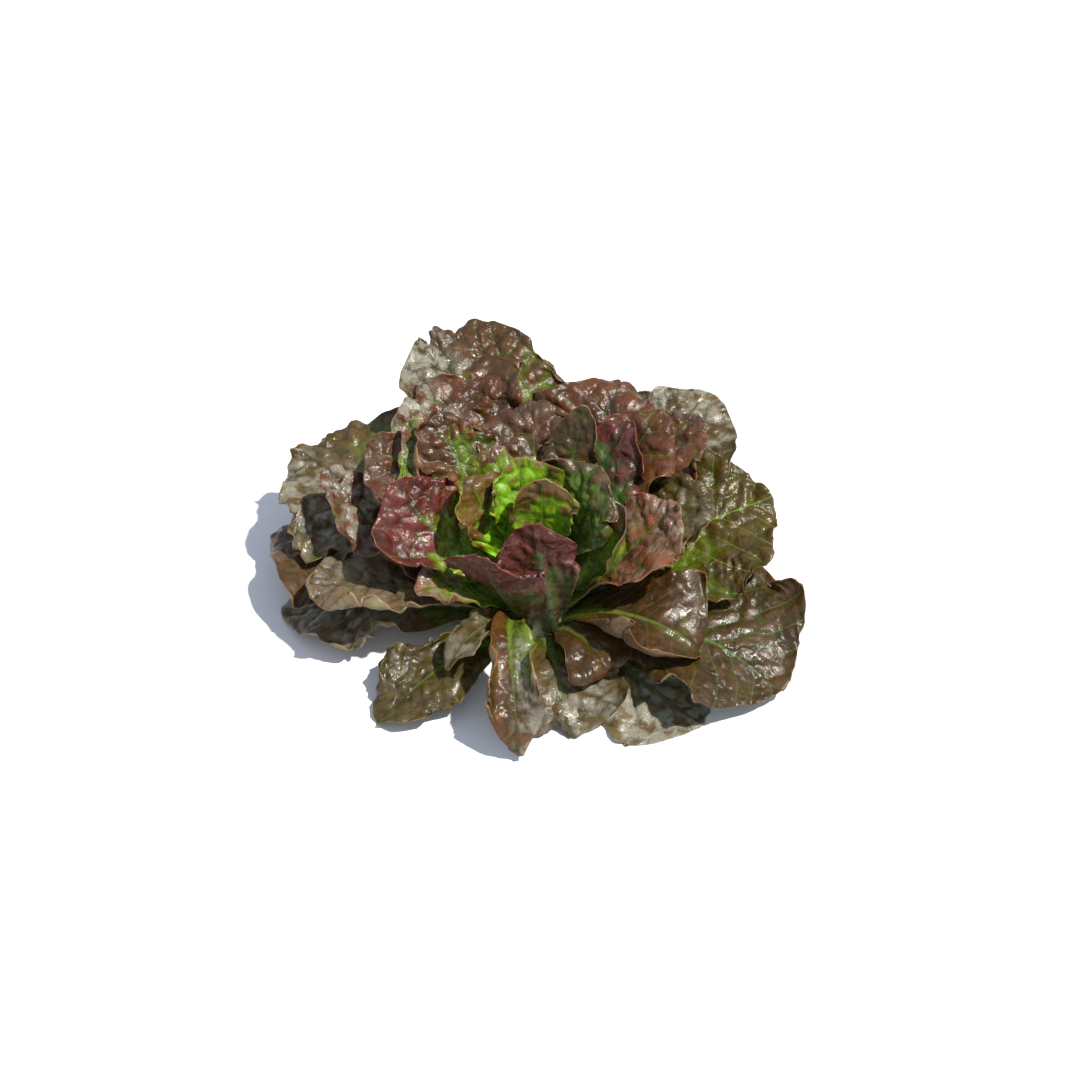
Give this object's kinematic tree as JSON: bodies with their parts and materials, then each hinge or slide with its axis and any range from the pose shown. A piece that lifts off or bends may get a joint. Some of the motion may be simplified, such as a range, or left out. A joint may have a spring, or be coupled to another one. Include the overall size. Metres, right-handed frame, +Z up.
{
  "type": "mignonette lettuce",
  "caption": "Open rosette of broad, wavy, bronze-red lettuce leaves with a green heart, cut at the stem and lying on its base.",
  "frame": {"origin": "centre of the stem's flat cut face, which rests on the surface", "axes": "+Z up out of the rosette; +X along its longest spread, to the right in the picture; +Y towards its back"},
  "size_m": [0.2637, 0.2273, 0.0953],
  "materials": {
    "stem_green": "moist, pale green",
    "outer_bronze": "waxy leaf, dark bronze",
    "middle_red": "waxy leaf, bronze red",
    "heart_green": "waxy leaf, bright green"
  },
  "bodies": {
    "root": {"stem": "stem_green", "outer_leaf_01": "outer_bronze", "outer_leaf_02": "outer_bronze", "outer_leaf_03": "outer_bronze", "outer_leaf_04": "outer_bronze", "outer_leaf_05": "outer_bronze", "outer_leaf_06": "outer_bronze", "outer_leaf_07": "outer_bronze", "outer_leaf_08": "outer_bronze", "outer_leaf_09": "outer_bronze", "outer_leaf_10": "outer_bronze", "outer_leaf_11": "outer_bronze", "outer_leaf_12": "outer_bronze", "outer_leaf_13": "outer_bronze", "outer_leaf_14": "outer_bronze", "outer_leaf_15": "outer_bronze", "outer_leaf_16": "outer_bronze", "outer_leaf_17": "outer_bronze", "outer_leaf_18": "outer_bronze", "middle_leaf_01": "middle_red", "middle_leaf_02": "middle_red", "middle_leaf_03": "middle_red", "middle_leaf_04": "middle_red", "middle_leaf_05": "middle_red", "middle_leaf_06": "middle_red", "middle_leaf_07": "middle_red", "middle_leaf_08": "middle_red", "middle_leaf_09": "middle_red", "middle_leaf_10": "middle_red", "middle_leaf_11": "middle_red", "middle_leaf_12": "middle_red", "middle_leaf_13": "middle_red", "middle_leaf_14": "middle_red", "middle_leaf_15": "middle_red", "middle_leaf_16": "middle_red", "middle_leaf_17": "middle_red", "heart_leaf_01": "heart_green", "heart_leaf_02": "heart_green", "heart_leaf_03": "heart_green", "heart_leaf_04": "heart_green", "heart_leaf_05": "heart_green", "heart_leaf_06": "heart_green", "heart_leaf_07": "heart_green"}
  },
  "joints": []
}
